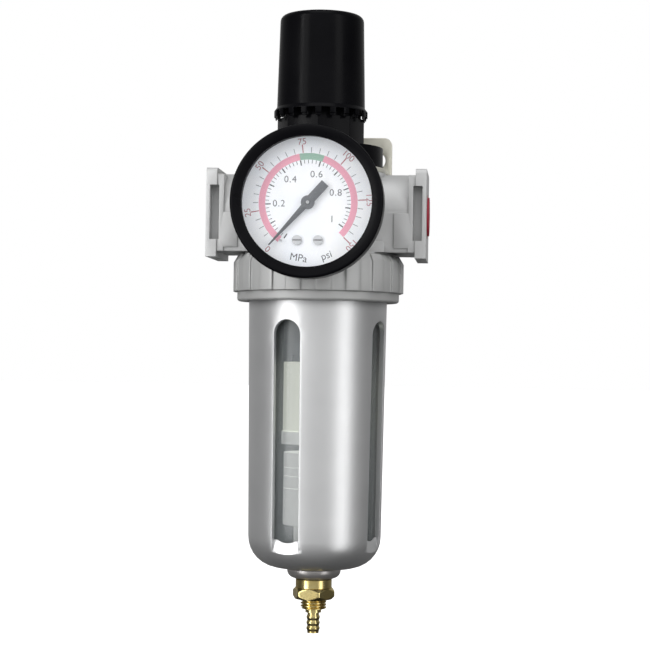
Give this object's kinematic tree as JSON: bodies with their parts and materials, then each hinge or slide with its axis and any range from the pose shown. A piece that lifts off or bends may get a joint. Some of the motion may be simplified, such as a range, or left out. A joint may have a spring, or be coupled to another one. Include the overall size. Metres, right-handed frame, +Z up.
{
  "type": "air pressure regulator",
  "caption": "Air filter-regulator with an adjusting knob, round gauge, bracket and drained bowl in a slotted guard.",
  "frame": {"origin": "centre of the inlet port, on the plane where its thread starts", "axes": "+X from the inlet to the outlet, the gauge faces -Y, +Z up through the knob"},
  "size_m": [0.0676, 0.0718, 0.1911],
  "materials": {
    "casting": "silver paint on a zinc casting, satin",
    "plated_steel": "zinc plated, satin",
    "black_plastic": "satin black nylon",
    "steel": "bright steel",
    "spring_steel": "drawn spring steel",
    "brass": "turned brass",
    "dark_rubber": "matt nitrile rubber",
    "seal_fibre": "off-white seal",
    "acetal": "tan acetal",
    "grey_plastic": "grey moulded plastic",
    "white_plastic": "white moulded plastic",
    "filter_media": "sintered, off-white",
    "bowl_clear": "clear polycarbonate",
    "ring_metal": "satin die-cast",
    "guard_metal": "satin silver",
    "nut_metal": "plated",
    "gauge_black": "black, satin",
    "dial_white": "white printed dial",
    "pointer_grey": "grey",
    "lens_clear": "clear acrylic",
    "plug_red": "red polyethylene"
  },
  "bodies": {
    "housing": {"body": "casting", "bracket": "plated_steel", "bonnet": "black_plastic", "bonnet_screws": "steel", "thrust_washer": "acetal", "regulating_spring": "spring_steel", "diaphragm": "dark_rubber", "valve_spring": "spring_steel", "valve_guide": "white_plastic", "guide_oring": "dark_rubber", "deflector": "grey_plastic", "filter_element": "filter_media", "filter_baffle": "white_plastic", "rear_port_plug": "steel", "rear_port_seal": "dark_rubber", "gauge_socket": "brass", "gauge_seal": "seal_fibre", "gauge_case": "gauge_black", "gauge_bezel": "gauge_black", "gauge_lens": "lens_clear", "gauge_dial": "dial_white", "dial_screws": "steel", "gauge_movement": "brass", "gauge_link": "steel", "bourdon_tube": "brass"},
    "screw": {"adjusting_screw": "steel", "screw_clip": "spring_steel"},
    "knob": {"knob": "black_plastic"},
    "nut": {"spring_nut": "brass"},
    "diaphragm_core": {"pressure_plate": "steel", "diaphragm_stud": "brass"},
    "valve": {"valve_stem": "brass", "valve_seal": "dark_rubber"},
    "pointer": {"gauge_pointer": "pointer_grey", "pinion_shaft": "steel"},
    "sector": {"sector_gear": "brass"},
    "ring": {"clamp_ring": "ring_metal"},
    "bowl_unit": {"guard": "guard_metal", "bowl": "bowl_clear", "bowl_oring": "dark_rubber", "drain_washer": "dark_rubber", "drain_nut": "nut_metal", "drain_body": "brass", "drain_housing": "white_plastic", "drain_spring": "spring_steel"},
    "drain": {"drain_stem": "brass", "drain_seal": "dark_rubber"},
    "plug": {"dust_plug": "plug_red"}
  },
  "joints": [
    {"name": "knob_turn", "type": "hinge", "parent": "housing", "child": "screw", "pos_m": [0.0323, 0, 0.05], "axis": [0, 0, 1], "range_deg": [-1440, 0]},
    {"name": "knob_lock", "type": "slide", "parent": "screw", "child": "knob", "axis": [0, 0, 1], "range_m": [-0.0016, 0]},
    {"name": "nut_travel", "type": "slide", "parent": "housing", "child": "nut", "axis": [0, 0, 1], "range_m": [-0.005, 0.00001], "deforming": ["regulating_spring"]},
    {"name": "diaphragm_travel", "type": "slide", "parent": "housing", "child": "diaphragm_core", "axis": [0, 0, 1], "range_m": [-0.001, 0], "stiffness_N_per_m": 2000, "springref_m": 0.0006, "deforming": ["diaphragm", "regulating_spring"]},
    {"name": "valve_travel", "type": "slide", "parent": "housing", "child": "valve", "axis": [0, 0, 1], "range_m": [-0.001, 0], "deforming": ["valve_spring"]},
    {"name": "pointer_turn", "type": "hinge", "parent": "housing", "child": "pointer", "pos_m": [0.0323, -0.034, 0.00095], "axis": [0, 1, 0], "range_deg": [0, 264], "stiffness_Nm_per_rad": 0.00004, "springref_deg": -11.46},
    {"name": "sector_turn", "type": "hinge", "parent": "housing", "child": "sector", "pos_m": [0.02325, -0.034, 0.01], "axis": [0, 1, 0], "range_deg": [-38, 0.1]},
    {"name": "bowl_drop", "type": "slide", "parent": "housing", "child": "bowl_unit", "axis": [0, 0, -1], "range_m": [0, 0.1]},
    {"name": "ring_turn", "type": "hinge", "parent": "bowl_unit", "child": "ring", "pos_m": [0.0323, 0, -0.02], "axis": [0, 0, 1], "continuous": true},
    {"name": "drain_push", "type": "slide", "parent": "bowl_unit", "child": "drain", "axis": [0, 0, 1], "range_m": [0, 0.0018], "stiffness_N_per_m": 500, "springref_m": -0.001, "deforming": ["drain_spring"]},
    {"name": "plug_pull", "type": "slide", "parent": "housing", "child": "plug", "axis": [1, 0, 0], "range_m": [0, 0.04]}
  ],
  "couplings": [
    {"joint": "nut_travel", "follows": "knob_turn", "m_per_rad": 0.00019894},
    {"joint": "valve_travel", "follows": "diaphragm_travel", "ratio": 1},
    {"joint": "sector_turn", "follows": "pointer_turn", "ratio": -0.14286}
  ]
}
